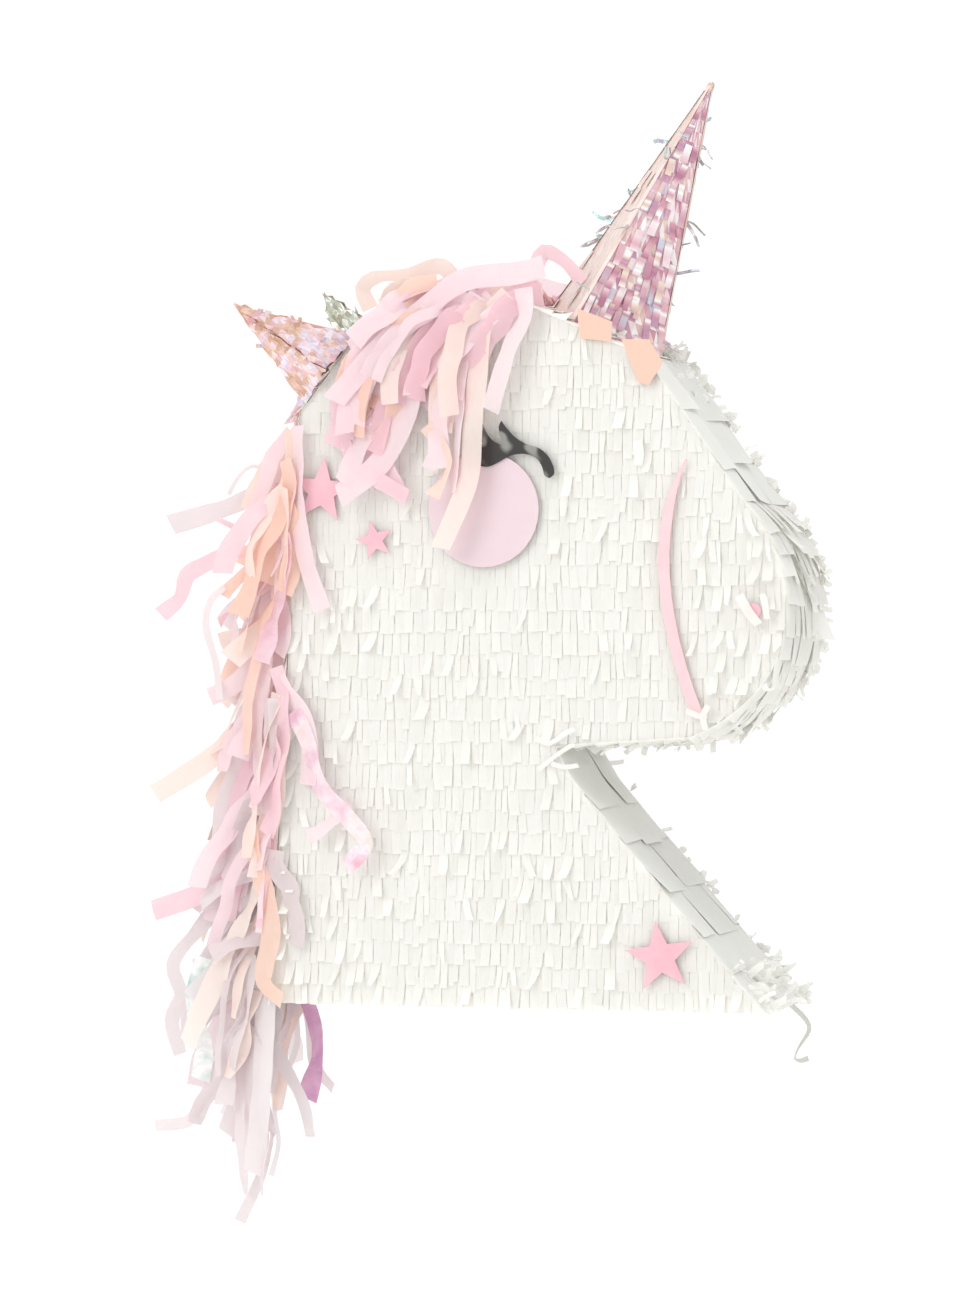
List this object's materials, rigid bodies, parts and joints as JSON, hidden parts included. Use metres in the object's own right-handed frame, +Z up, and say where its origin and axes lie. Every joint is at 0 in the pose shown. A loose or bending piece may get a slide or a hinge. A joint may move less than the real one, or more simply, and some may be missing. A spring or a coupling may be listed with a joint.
{
  "type": "pinata",
  "caption": "Flat-sided card pinata shaped like a unicorn's head, with fringed tissue, a card horn, folded ears, a streamer mane, a fill flap and a hanging loop.",
  "frame": {"origin": "top of the wire hanging loop on the crown, where a hook or line holds it", "axes": "+X towards the nose, +Z up when it hangs, -Y out of the front face, across the body"},
  "size_m": [0.3784, 0.1521, 0.626],
  "materials": {
    "white_card": "matte",
    "white_tissue": "matte",
    "peach_card": "matte",
    "iridescent_film": "gloss",
    "pink_tissue": "matte",
    "peach_tissue": "matte",
    "mauve_tissue": "matte",
    "pink_paper": "satin",
    "blush_paper": "satin",
    "black_foil": "gloss",
    "steel_wire": "satin",
    "white_webbing": "matte"
  },
  "bodies": {
    "shell": {"front_panel": "white_card", "rear_panel": "white_card", "nape_strip": "white_card", "crown_strip": "white_card", "horn_seat_strip": "white_card", "bridge_strip": "white_card", "muzzle_strip": "white_card", "jaw_strip": "white_card", "throat_strip": "white_card", "base_strip": "white_card", "crown_stiffener": "peach_card", "front_fringe": "white_tissue", "rear_fringe": "white_tissue", "nape_fringe": "white_tissue", "bridge_fringe": "white_tissue", "muzzle_fringe": "white_tissue", "jaw_fringe": "white_tissue", "throat_fringe": "white_tissue", "horn_core": "peach_card", "horn_film": "iridescent_film", "horn_tab_back": "peach_card", "horn_tab_front": "peach_card", "ear_near_card": "peach_card", "ear_near_film": "iridescent_film", "ear_far_card": "peach_card", "ear_far_film": "iridescent_film", "cheek_near": "blush_paper", "cheek_far": "blush_paper", "nostril_near": "pink_paper", "nostril_far": "pink_paper", "halter_near": "pink_paper", "halter_far": "pink_paper", "eyelid_near": "black_foil", "eyelid_far": "black_foil", "neck_star_near": "pink_paper", "neck_star_far": "pink_paper", "temple_star_near": "pink_paper", "temple_star_far": "pink_paper", "small_star_near": "pink_paper", "small_star_far": "pink_paper", "nape_lock_1": "peach_tissue", "nape_lock_2": "pink_tissue", "nape_lock_3": "peach_tissue", "nape_lock_4": "pink_tissue", "nape_lock_5": "mauve_tissue", "nape_lock_6": "mauve_tissue", "tail_lock_near": "mauve_tissue", "tail_lock_far": "mauve_tissue", "crown_lock_back": "peach_tissue", "crown_lock_front": "peach_tissue", "forelock_near_1": "pink_tissue", "forelock_near_2": "pink_tissue", "forelock_near_3": "pink_tissue", "forelock_far_1": "pink_tissue", "forelock_far_2": "pink_tissue", "loop_strap": "white_webbing"},
    "flap": {"fill_flap": "white_card", "flap_fringe": "white_tissue"},
    "loop": {"hanging_loop": "steel_wire"}
  },
  "joints": [
    {"name": "fill_flap_hinge", "type": "hinge", "parent": "shell", "child": "flap", "pos_m": [-0.01363, 0.044, -0.2659], "axis": [1, 0, 0], "range_deg": [0, 105]},
    {"name": "loop_swing", "type": "hinge", "parent": "shell", "child": "loop", "pos_m": [0, 0, -0.0155], "axis": [1, 0, 0], "range_deg": [-75, 75]}
  ]
}
